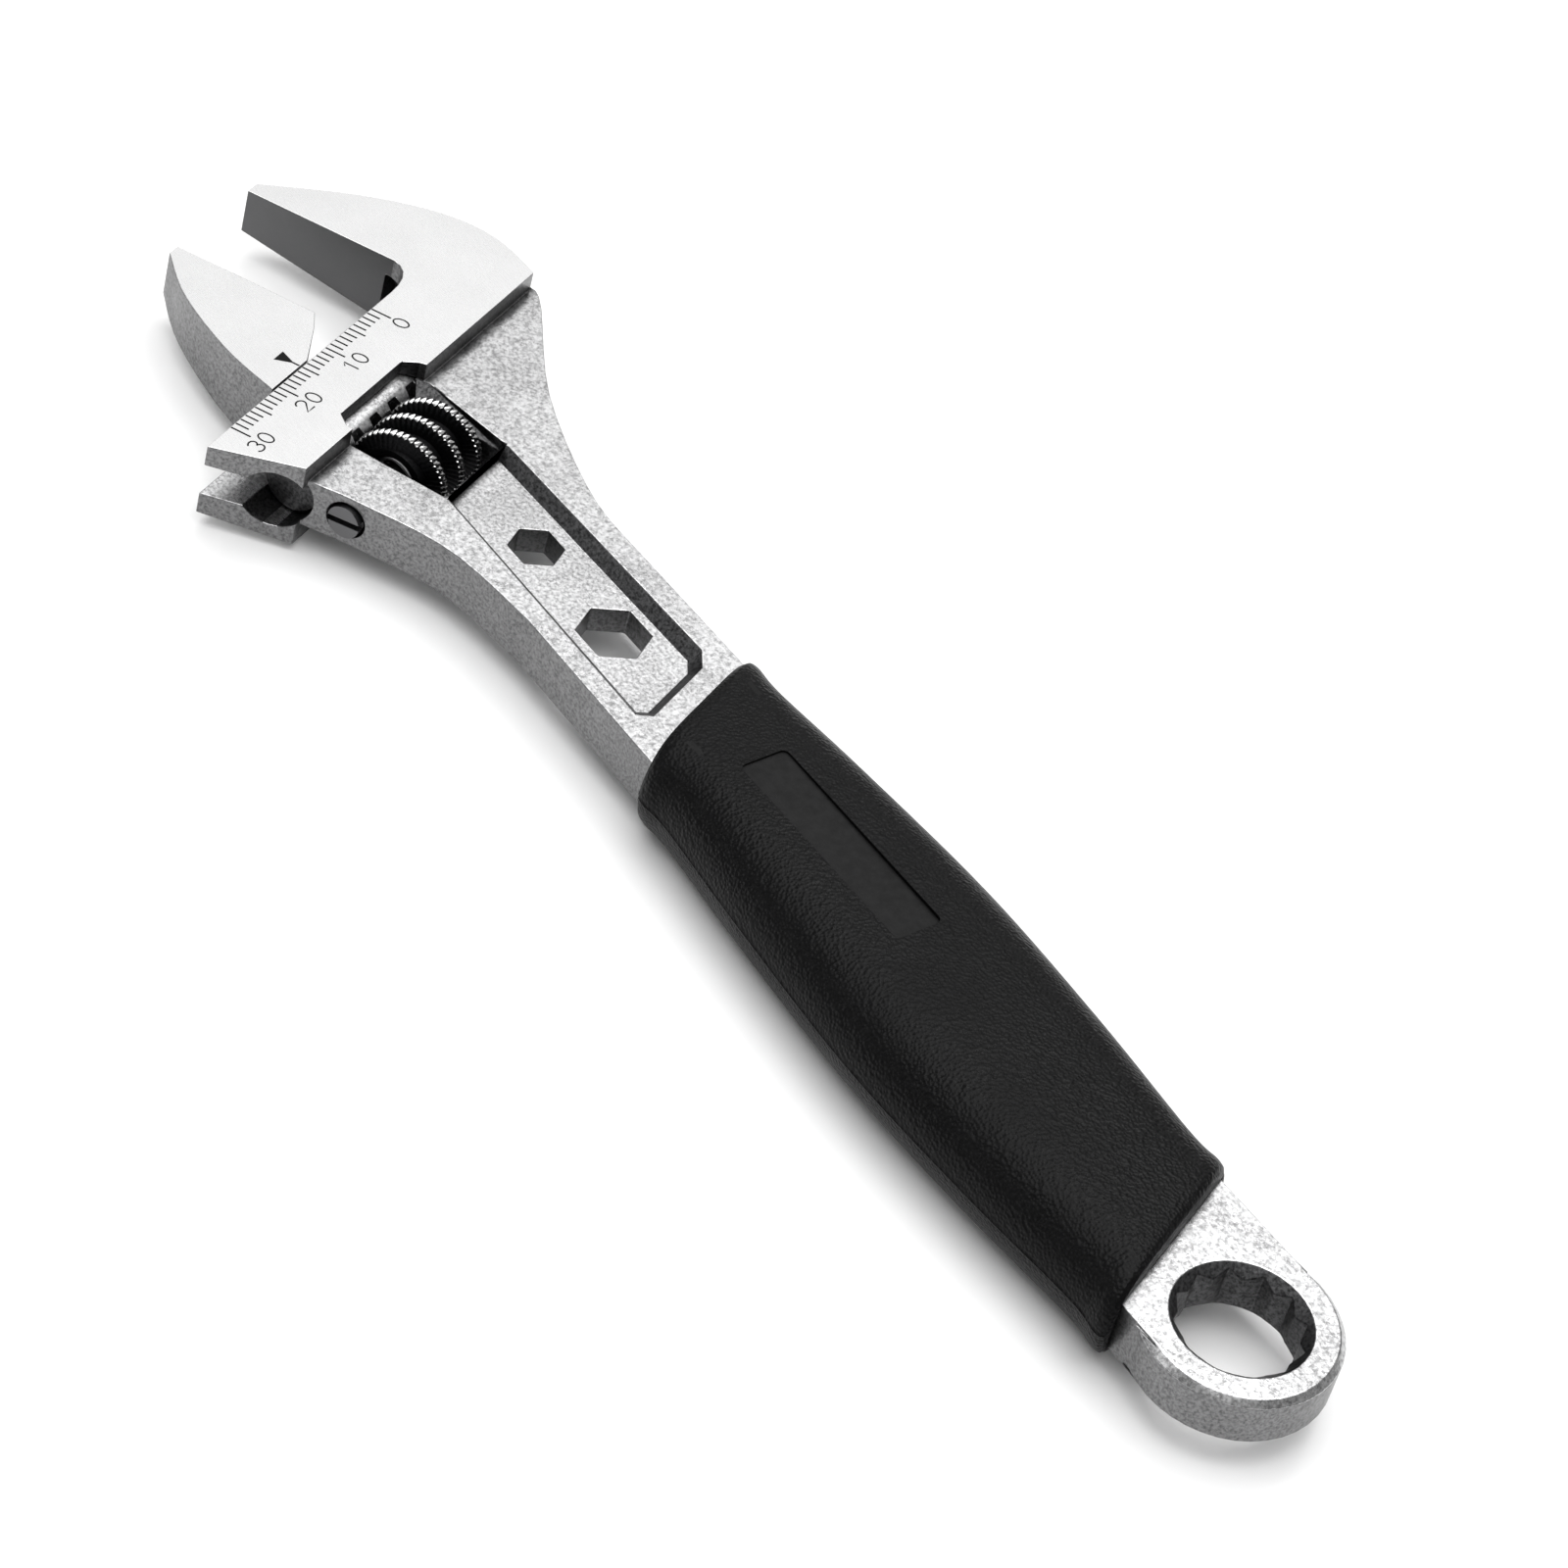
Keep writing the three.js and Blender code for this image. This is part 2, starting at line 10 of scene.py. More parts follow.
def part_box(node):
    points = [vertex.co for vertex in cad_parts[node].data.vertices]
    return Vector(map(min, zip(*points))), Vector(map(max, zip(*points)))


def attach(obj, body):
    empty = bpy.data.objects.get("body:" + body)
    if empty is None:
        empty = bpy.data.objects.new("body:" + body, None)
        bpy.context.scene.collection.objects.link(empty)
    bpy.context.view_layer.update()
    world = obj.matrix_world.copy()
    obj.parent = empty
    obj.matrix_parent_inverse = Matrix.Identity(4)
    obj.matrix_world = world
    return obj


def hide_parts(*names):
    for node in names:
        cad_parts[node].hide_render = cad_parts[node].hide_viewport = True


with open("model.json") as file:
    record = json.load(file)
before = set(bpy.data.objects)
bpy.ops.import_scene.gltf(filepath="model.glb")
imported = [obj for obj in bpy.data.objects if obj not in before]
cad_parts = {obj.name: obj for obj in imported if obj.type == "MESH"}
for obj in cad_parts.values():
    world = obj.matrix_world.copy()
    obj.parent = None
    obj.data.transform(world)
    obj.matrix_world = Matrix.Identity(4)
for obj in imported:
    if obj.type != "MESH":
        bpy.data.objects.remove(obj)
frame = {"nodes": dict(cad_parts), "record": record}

bl_info = {
    "name": "Adjustable wrench",
    "version": (1, 0, 0),
    "blender": (4, 5, 0),
    "location": "3D View > Sidebar > Wrench",
    "description": "Builds the finished pieces of an adjustable wrench round its packed frame",
    "category": "Object",
}

MM = 0.001

# ---------- places taken from the frame ----------
# S runs in the opening direction and T towards the jaw tips, from the foot of the fixed jaw.

MOUNTS = {mount["name"]: mount for mount in frame["record"]["mounts"]}
JOINTS = {joint["name"]: joint for joint in frame["record"]["behaviour"]["joints"]}
Z_AXIS = Vector((0, 0, 1))
S_AXIS = Vector(MOUNTS["fixed_jaw_face"]["axis"]).normalized()
T_AXIS = S_AXIS.cross(Z_AXIS)
MOUNT_HEIGHT = 14 * MM
HEAD_ORIGIN = Vector(MOUNTS["fixed_jaw_face"]["pos_m"]) - MOUNT_HEIGHT * T_AXIS
WORM_AXIS_POINT = Vector(JOINTS["worm_turn"]["pos_m"])
HEAD_SLANT = S_AXIS.x / S_AXIS.y

# ---------- sizes shared with the frame ----------

HEAD_HALF_THICK = 5.2 * MM
HEAD_TAPER = 0.08
STEP_DEPTH = 11.3 * MM
# Width of the painted shade along the foot of the step.
STEP_SHADE_BAND = 1.5 * MM
RING_RADIUS = 11.7 * MM
RING_CHAMFER_RADIUS = 8.1 * MM
RING_FROM_FOOT_Y = 12.2 * MM
WORM_RADIUS = 6.2 * MM
THREAD_PITCH = 3.9 * MM
THREAD_DEPTH = 2 * MM
THREAD_CREST = 1 * MM
THREAD_FLANK = math.tan(math.radians(15))
THREAD_PHASE = 1.2 * MM
WORM_LENGTH = 11.4 * MM
WORM_BORE = 2 * MM
SPRING_POCKET_RADIUS = 3.3 * MM
SPRING_POCKET_DEPTH = 5 * MM
SPRING_WIRE = 0.35 * MM
SPRING_CLEARANCE = 0.3 * MM
SPRING_TURNS = 3.5
GRIP_HALF_CAVITY = (11.2 * MM, 9.7 * MM, 3.8 * MM)
GRIP_CAVITY_END = 117.2 * MM
GRIP_CAVITY_SKEW = 0.5 * MM
LABEL_CENTRE = 74 * MM
LABEL_LENGTH = 30 * MM
LABEL_WIDTH = 6.6 * MM
LABEL_CORNER = 0.8 * MM
LABEL_DEPTH = 0.5 * MM
# Along the handle: distance from the ring, half width and half thickness, in millimetres.
GRIP_STATIONS = (
    (12.0, 12.9, 6.6), (13.6, 13.3, 6.9), (18.5, 12.9, 7.0), (36.0, 14.2, 7.2), (57.0, 14.8, 7.2),
    (80.0, 13.2, 7.1), (94.0, 11.8, 6.9), (98.8, 12.0, 6.8), (100.4, 11.5, 6.4),
)
GRIP_FLATNESS = 5
GRIP_SHOULDER = 1.6

# ---------- regions with a finish and painted shade of their own ---

WINDOW_S = (15 * MM, 31 * MM)
WINDOW_T = (-26 * MM, -8 * MM)
GUIDE_SLOT_T = (-9 * MM, 0.5 * MM)
GUIDE_SLOT_HALF = 2 * MM
JAW_FOOT_REACH = 0.5 * MM
RING_BORE_MARGIN = 0.2 * MM
RING_RIM_MARGIN = 1 * MM
# Shares of a face's normal along an axis, from one for a face square to it.
SQUARE = 0.99
NEARLY_SQUARE = 0.98
LEANING = 0.9
UPRIGHT = 0.15
WEDGE_LEAN = 0.05

# ---------- mesh tolerances ----------

CRISP_ANGLE = 28
BEVEL_SEGMENTS = 2
COPY_WELD = 0.002 * MM
COPY_FLATNESS = 0.6
WORM_WELD = 0.0005 * MM

BODY_LOW = Vector(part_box("wrench_body")[0])
RING_CENTRE = Vector((BODY_LOW.x + RING_RADIUS, HEAD_ORIGIN.y + RING_FROM_FOOT_Y, HEAD_ORIGIN.z))


def head_place(point):
    """A point's distances along S, T and Z from the foot of the fixed jaw."""
    offset = point - HEAD_ORIGIN
    return offset.dot(S_AXIS), offset.dot(T_AXIS), offset.z


def on_head(s, t, lift):
    """A point above the head's upper ground face."""
    return HEAD_ORIGIN + s * S_AXIS + t * T_AXIS + (HEAD_HALF_THICK - HEAD_TAPER * t + lift) * Z_AXIS


# ---------- settings ----------


def size(name, description, default):
    return FloatProperty(name=name, description=description, default=default, unit="LENGTH", precision=6)


def colour(name, description, default):
    return FloatVectorProperty(
        name=name, description=description, default=default, size=3, min=0, max=1, subtype="COLOR")


class WrenchSizes(bpy.types.PropertyGroup):
    edge_round: size("Edge round", "Width of the rounding on the forging's edges", 0.16 * MM)
    ground_round: size("Ground edge round", "Width of the rounding beside a ground face", 0.1 * MM)
    moulding_round: size("Moulding round", "Width of the rounding on the grip's lips", 0.16 * MM)
    beads: IntProperty(name="Knurl beads", description="Beads in one turn of the thread", default=46, min=12)
    bead_depth: size("Bead depth", "Depth of the grooves between the knurl beads", 0.36 * MM)
    bead_slant: FloatProperty(name="Bead slant", description="Beads passed over across the crest", default=0.75)
    mark_width: size("Mark width", "Width of a scale line", 0.24 * MM)
    mark_height: size("Mark height", "How far the ink stands on the steel", 0.015 * MM)
    minor_mark: size("Minor mark", "Length of a one millimetre line", 1.95 * MM)
    middle_mark: size("Middle mark", "Length of a five millimetre line", 2.5 * MM)
    major_mark: size("Major mark", "Length of a ten millimetre line", 2.9 * MM)
    digit_height: size("Digit height", "Height of the scale's numerals", 2.1 * MM)
    digit_stroke: size("Digit stroke", "Width of a numeral's stroke", 0.21 * MM)
    parting_line: size("Parting line", "Height of the seam round the grip", 0.12 * MM)


# Colours of the finishes; the side, wall and jaw-face colours are darker copies of the steel as painted shade.
class WrenchFinishes(bpy.types.PropertyGroup):
    ground: colour("Ground steel", "Head faces and jaws", (0.80, 0.80, 0.80))
    chrome: colour("Chrome", "Shank, pocket floor and ring", (0.52, 0.52, 0.524))
    # The chrome again, much darker on the step, notch, window and socket walls: painted shade in recesses and
    # creases; the rougher grain is real.
    scaled: colour("Shaded wall chrome", "Steps, notch and window walls", (0.085, 0.085, 0.087))
    # The chrome again, darkened on the upright outer walls as painted shade.
    side: colour("Side chrome", "Outer walls of the forging", (0.19, 0.19, 0.192))
    # Milled steel darkened far below its own colour on the upright gripping faces as painted shade; the milled
    # lines are real.
    jaw_face: colour("Jaw face", "Milled gripping faces", (0.105, 0.105, 0.107))
    blackened: colour("Blackened steel", "Worm between its crests", (0.018, 0.018, 0.019))
    crest: colour("Worn crest", "Knurled crests of the worm", (0.78, 0.78, 0.78))
    pin: colour("Pin steel", "Worm pin", (0.12, 0.12, 0.123))
    spring: colour("Spring wire", "Worm spring", (0.6, 0.6, 0.61))
    grip: colour("Grip", "Moulded sleeve", (0.002, 0.002, 0.0021))
    label: colour("Label recess", "Smooth floor of the recess", (0.0065, 0.0065, 0.0066))
    ink: colour("Ink", "Scale and index arrow", (0.004, 0.004, 0.004))
    floor: colour("Floor", "Studio floor", (0.9, 0.9, 0.9))


class WrenchStage(bpy.types.PropertyGroup):
    camera_place: FloatVectorProperty(
        name="Camera", description="Where the camera stands", default=(-0.32419, 0.343, 0.44922),
        size=3, subtype="TRANSLATION")
    camera_aim: FloatVectorProperty(
        name="Aim", description="Where the camera looks", default=(-0.005742, -0.006995, 0.0072),
        size=3, subtype="TRANSLATION")
    camera_roll: FloatProperty(
        name="Roll", description="Turn of the camera about its view", default=math.radians(16.08),
        subtype="ANGLE")
    lens: FloatProperty(
        name="Lens", description="Focal length in millimetres on a 36 mm sensor", default=129.02)
    key_power: FloatProperty(
        name="Key power", description="Power of the large soft light", default=2.3, unit="POWER")
    fill_power: FloatProperty(
        name="Fill power", description="Power of the side light", default=1.0, unit="POWER")
    glint_power: FloatProperty(
        name="Glint power", description="Power of the small light that picks out grain", default=1.0,
        unit="POWER")
    overhead_power: FloatProperty(
        name="Overhead power", description="Power of the light above", default=34, unit="POWER")
    sky: FloatProperty(name="Sky", description="Strength of the even light from all round", default=0.35)


# ---------- materials ----------


class Shader:
    """A material's nodes, with short ways to add and join them."""

    # Share of the tone left where the painted shade is deepest.
    darkest_share = 0.12

    def __init__(self, name, base, roughness, metallic):
        self.material = bpy.data.materials.new(name)
        self.material.use_nodes = True
        self.material.diffuse_color = (*base, 1)
        self.tree = self.material.node_tree
        self.surface = self.tree.nodes["Principled BSDF"]
        self.surface.inputs["Base Color"].default_value = (*base, 1)
        self.surface.inputs["Roughness"].default_value = roughness
        self.surface.inputs["Metallic"].default_value = metallic
        self.place = self.add("ShaderNodeTexCoord").outputs["Object"]

    def add(self, kind, links=(), **values):
        node = self.tree.nodes.new(kind)
        for key, value in values.items():
            if key in node.inputs:
                node.inputs[key].default_value = value
            else:
                setattr(node, key, value)
        for key, output in dict(links).items():
            self.tree.links.new(output, node.inputs[key])
        return node

    def stretched(self, scale, turn):
        node = self.add("ShaderNodeMapping", {"Vector": self.place}, Scale=scale, Rotation=(0, 0, turn))
        return node.outputs["Vector"]

    def noise(self, scale, detail=4.0, roughness=0.55, place=None):
        node = self.add("ShaderNodeTexNoise", {"Vector": place or self.place},
                        Scale=scale, Detail=detail, Roughness=roughness)
        return node.outputs["Fac"]

    def between(self, value, low, high, start=0.35, stop=0.65):
        node = self.add("ShaderNodeMapRange", {"Value": value},
                        **{"From Min": start, "From Max": stop, "To Min": low, "To Max": high})
        return node.outputs["Result"]

    def shades(self, value, dark, light, start=0.35, stop=0.65):
        node = self.add("ShaderNodeValToRGB", {"Fac": value})
        ramp = node.color_ramp.elements
        ramp[0].position, ramp[1].position = start, stop
        ramp[0].color, ramp[1].color = (*dark, 1), (*light, 1)
        return node.outputs["Color"]

    def darkened_near(self, tone, point, across, reach):
        """The tone with painted shade, darker within reach of the plane through a point."""
        offset = self.add("ShaderNodeVectorMath", {"Vector": self.place}, operation="SUBTRACT")
        offset.inputs[1].default_value = point
        along = self.add("ShaderNodeVectorMath", operation="DOT_PRODUCT")
        self.tree.links.new(offset.outputs["Vector"], along.inputs[0])
        along.inputs[1].default_value = across
        away = self.add("ShaderNodeMath", operation="ABSOLUTE")
        self.tree.links.new(along.outputs["Value"], away.inputs[0])
        keep = self.between(away.outputs["Value"], self.darkest_share, 1.0, 0.0, reach)
        shade = self.add("ShaderNodeVectorMath", operation="SCALE")
        self.tree.links.new(tone, shade.inputs[0])
        self.tree.links.new(keep, shade.inputs["Scale"])
        return shade.outputs["Vector"]

    def bump(self, height, distance, strength, under=None):
        links = {"Height": height}
        if under:
            links["Normal"] = under
        return self.add("ShaderNodeBump", links, Distance=distance, Strength=strength).outputs["Normal"]

    def wear(self, **outputs):
        for key, output in outputs.items():
            self.tree.links.new(output, self.surface.inputs[key.replace("_", " ")])
        return self.material


def scaled_colour(base, factor):
    return tuple(min(1.0, channel * factor) for channel in base)


def ground_metal(name, base, roughness, lines_along=S_AXIS, line_depth=0.004 * MM):
    """Steel ground with fine straight lines, and a few scuffs."""
    shader = Shader(name, base, roughness, 1)
    turn = -math.atan2(lines_along.y, lines_along.x)
    lines = shader.noise(1, 5, 0.7, shader.stretched((260, 5200, 5200), turn))
    cloud = shader.noise(140, 3)
    tone = shader.shades(cloud, scaled_colour(base, 0.98), scaled_colour(base, 1.02))
    return shader.wear(
        Base_Color=tone,
        Roughness=shader.between(lines, roughness - 0.04, roughness + 0.05),
        Normal=shader.bump(lines, line_depth, 0.5, shader.bump(cloud, 0.02 * MM, 0.15)),
    )


def forged_metal(name, base, roughness, grain, depth, contrast, painted_step_shade=False):
    """Plated forging: rounded pebbling, a grain of specks whose dark end sits in the pits as painted shade, and
    painted shade where it meets the head's step.
    """
    shader = Shader(name, base, roughness, 1)
    pebbles = shader.noise(grain, 3, 0.5)
    specks_and_pit_shade = shader.noise(grain * 2.2, 3, 0.65)
    cloud = shader.noise(120, 2)
    # Speck grain in the colour; its dark end falls in the bump's pits as painted shade.
    tone = shader.shades(specks_and_pit_shade, scaled_colour(base, 1 - contrast), scaled_colour(base, 1.2), 0.34, 0.6)
    # Painted shade in the crease where the shank meets the head's step.
    if painted_step_shade:
        tone = shader.darkened_near(tone, HEAD_ORIGIN - STEP_DEPTH * T_AXIS, T_AXIS, STEP_SHADE_BAND)
    return shader.wear(
        Base_Color=tone,
        Roughness=shader.between(cloud, roughness - 0.05, roughness + 0.1),
        Normal=shader.bump(specks_and_pit_shade, depth * 0.25, 0.5, shader.bump(pebbles, depth, 0.7)),
    )


def moulded_plastic(name, base, roughness, cell, depth):
    """Moulded plastic with a fine pebble grain."""
    shader = Shader(name, base, roughness, 0)
    shader.surface.inputs["Specular IOR Level"].default_value = 0.1
    cells = shader.add("ShaderNodeTexVoronoi", {"Vector": shader.place}, Scale=1 / cell, feature="SMOOTH_F1",
                       Smoothness=0.6).outputs["Distance"]
    dust = shader.noise(900, 4, 0.6)
    broad = shader.noise(60, 2)
    return shader.wear(
        Base_Color=shader.shades(dust, scaled_colour(base, 0.8), scaled_colour(base, 1.5)),
        Roughness=shader.between(broad, roughness - 0.05, roughness + 0.07),
        Normal=shader.bump(dust, depth * 0.4, 0.5, shader.bump(cells, depth, 0.9)),
    )


def use_materials(piece, *materials):
    for material in materials:
        piece.data.materials.append(material)


# ---------- mesh tools ----------


def add_piece(name, mesh_builder, body, nodes=()):
    """A new object from a bmesh, riding on a body and standing for the frame's nodes."""
    mesh = bpy.data.meshes.new(name)
    mesh_builder.to_mesh(mesh)
    mesh_builder.free()
    piece = bpy.data.objects.new(name, mesh)
    bpy.context.scene.collection.objects.link(piece)
    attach(piece, body)
    if nodes:
        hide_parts(*nodes)
    return piece


def rounded_edges(piece, width, angle=CRISP_ANGLE, weighted=False):
    """Rounds the crisp edges, or the weighted ones, and keeps the flats flat."""
    for polygon in piece.data.polygons:
        polygon.use_smooth = True
    bevel = piece.modifiers.new("edge_round", "BEVEL")
    bevel.width = width
    bevel.segments = BEVEL_SEGMENTS
    bevel.limit_method = "WEIGHT" if weighted else "ANGLE"
    bevel.use_clamp_overlap = not weighted
    bevel.angle_limit = math.radians(angle)
    bevel.harden_normals = True
    bevel.miter_outer = "MITER_ARC"
    normals = piece.modifiers.new("flat_faces", "WEIGHTED_NORMAL")
    normals.keep_sharp = True


def frame_copy(node, finish_and_shade_of, crisp_share=1.0):
    """The frame's own mesh, its flat faces merged and each given a material (some of them darker copies as
    painted shade), its edges weighted for rounding.
    """
    copy = bmesh.new()
    copy.from_mesh(frame["nodes"][node].data)
    bmesh.ops.remove_doubles(copy, verts=copy.verts, dist=COPY_WELD)
    bmesh.ops.dissolve_limit(copy, angle_limit=math.radians(COPY_FLATNESS), verts=copy.verts, edges=copy.edges)
    copy.normal_update()
    for face in copy.faces:
        face.material_index = finish_and_shade_of(face.calc_center_median(), face.normal)
    weight = copy.edges.layers.float.new("bevel_weight_edge")
    for edge in copy.edges:
        if len(edge.link_faces) == 2 and edge.calc_face_angle() > math.radians(CRISP_ANGLE):
            crisp = any(face.material_index in CRISP_FINISHES for face in edge.link_faces)
            edge[weight] = crisp_share if crisp else 1.0
    return copy


def stroke(builder, points, width, place, closed=False):
    """A flat line of even width through the points, as a thin closed solid. place sets a point on the steel."""
    count = len(points)
    sides = []
    for i, point in enumerate(points):
        before = points[i - 1] if i or closed else point
        after = points[(i + 1) % count] if i < count - 1 or closed else point
        ahead = (after - before).normalized()
        across = Vector((-ahead.y, ahead.x)) * width / 2
        sides.append([place(point + across, 1), place(point - across, 1),
                      place(point - across, -1), place(point + across, -1)])
    rings = [[builder.verts.new(corner) for corner in ring] for ring in sides]
    for i in range(count if closed else count - 1):
        here, there = rings[i], rings[(i + 1) % count]
        for k in range(4):
            builder.faces.new((here[k], here[(k + 1) % 4], there[(k + 1) % 4], there[k]))
    if not closed:
        builder.faces.new(rings[0][::-1])
        builder.faces.new(rings[-1])


def arc(centre, radii, start, stop, steps=12):
    """Points on an ellipse, its angles in degrees."""
    angles = (math.radians(start + (stop - start) * i / steps) for i in range(steps + 1))
    return [Vector((centre[0] + radii[0] * math.cos(a), centre[1] + radii[1] * math.sin(a))) for a in angles]


def loft(builder, rings):
    """Skins rings of equal count, and caps both ends."""
    rows = [[builder.verts.new(point) for point in ring] for ring in rings]
    count = len(rows[0])
    for here, there in zip(rows, rows[1:]):
        for i in range(count):
            j = (i + 1) % count
            builder.faces.new((here[i], here[j], there[j], there[i]))
    builder.faces.new(rows[0][::-1])
    builder.faces.new(rows[-1])


def outward(builder):
    bmesh.ops.recalc_face_normals(builder, faces=builder.faces)


# ---------- operators ----------

GROUND, CHROME, SHADED_WALL, SHADED_SIDE, JAW_FACE = range(5)
CRISP_FINISHES = (GROUND, JAW_FACE)


def wedge_face(normal):
    """True on the head's two ground faces, which lean towards the jaw tips."""
    return abs(normal.z) > SQUARE and normal.dot(T_AXIS) > WEDGE_LEAN


# Top faces keep the ground steel and chrome; outer walls, recess and step walls and the socket take darker
# copies as painted shade.
def body_finish(centre, normal):
    s, t, z = head_place(centre)
    from_ring = (centre - RING_CENTRE).xy.length
    if from_ring < RING_CHAMFER_RADIUS + RING_BORE_MARGIN and abs(normal.z) < LEANING:
        return SHADED_WALL
    if wedge_face(normal):
        return GROUND
    if abs(normal.z) > SQUARE:
        return CHROME
    if abs(normal.z) > UPRIGHT:
        return CHROME if from_ring < RING_RADIUS + RING_RIM_MARGIN else SHADED_WALL
    if normal.dot(S_AXIS) > NEARLY_SQUARE and abs(s) < JAW_FOOT_REACH and t > 0:
        return JAW_FACE
    in_window = WINDOW_S[0] < s < WINDOW_S[1] and WINDOW_T[0] < t < WINDOW_T[1]
    in_guide_slot = abs(z) < GUIDE_SLOT_HALF and GUIDE_SLOT_T[0] < t < GUIDE_SLOT_T[1]
    return SHADED_WALL if in_window or in_guide_slot else SHADED_SIDE


# Ground faces and chrome, with darker copies for walls, sides and gripping faces as painted shade.
def jaw_finish(centre, normal):
    s, t, z = head_place(centre)
    if wedge_face(normal):
        return GROUND
    if t < 0:
        return CHROME if abs(normal.dot(S_AXIS)) < LEANING else SHADED_WALL
    return JAW_FACE if normal.dot(S_AXIS) < -LEANING else SHADED_SIDE


def steel_finishes(colours):
    return (
        ground_metal("ground_head_face", colours.ground, 0.27),
        # The chrome of the top faces, with painted shade at the foot of the step.
        forged_metal("bright_forging", colours.chrome, 0.26, grain=1000, depth=0.05 * MM, contrast=0.5,
                     painted_step_shade=True),
        # Painted shade: the chrome darkened on recess and step walls, with a rougher grain.
        forged_metal("shaded_wall_forging", colours.scaled, 0.4, grain=1100, depth=0.1 * MM, contrast=0.7),
        # Painted shade: the chrome darkened on the outer walls.
        forged_metal("shaded_side_forging", colours.side, 0.34, grain=1150, depth=0.06 * MM, contrast=0.45),
        # Milled lines are real; the dark base colour is painted shade.
        ground_metal("milled_and_shaded_jaw_face", colours.jaw_face, 0.4, lines_along=Z_AXIS.cross(S_AXIS),
                     line_depth=0.008 * MM),
    )


class WRENCH_OT_body(bpy.types.Operator):
    """Builds the forged body with its fixed jaw, pocket, window and ring"""
    bl_idname = "wrench.body"
    bl_label = "Forged body"

    def execute(self, context):
        sizes = context.scene.wrench_sizes
        copy = frame_copy("wrench_body", body_finish, sizes.ground_round / sizes.edge_round)
        piece = add_piece("forged_body", copy, "wrench", ["wrench_body"])
        use_materials(piece, *steel_finishes(context.scene.wrench_finishes))
        rounded_edges(piece, sizes.edge_round, weighted=True)
        return {"FINISHED"}


class WRENCH_OT_jaw(bpy.types.Operator):
    """Builds the movable jaw with its stem, web and rack"""
    bl_idname = "wrench.jaw"
    bl_label = "Movable jaw"

    def execute(self, context):
        sizes = context.scene.wrench_sizes
        piece = add_piece("sliding_jaw", frame_copy("movable_jaw", jaw_finish), "jaw",
                          ["movable_jaw"])
        use_materials(piece, *steel_finishes(context.scene.wrench_finishes))
        rounded_edges(piece, sizes.ground_round, weighted=True)
        return {"FINISHED"}


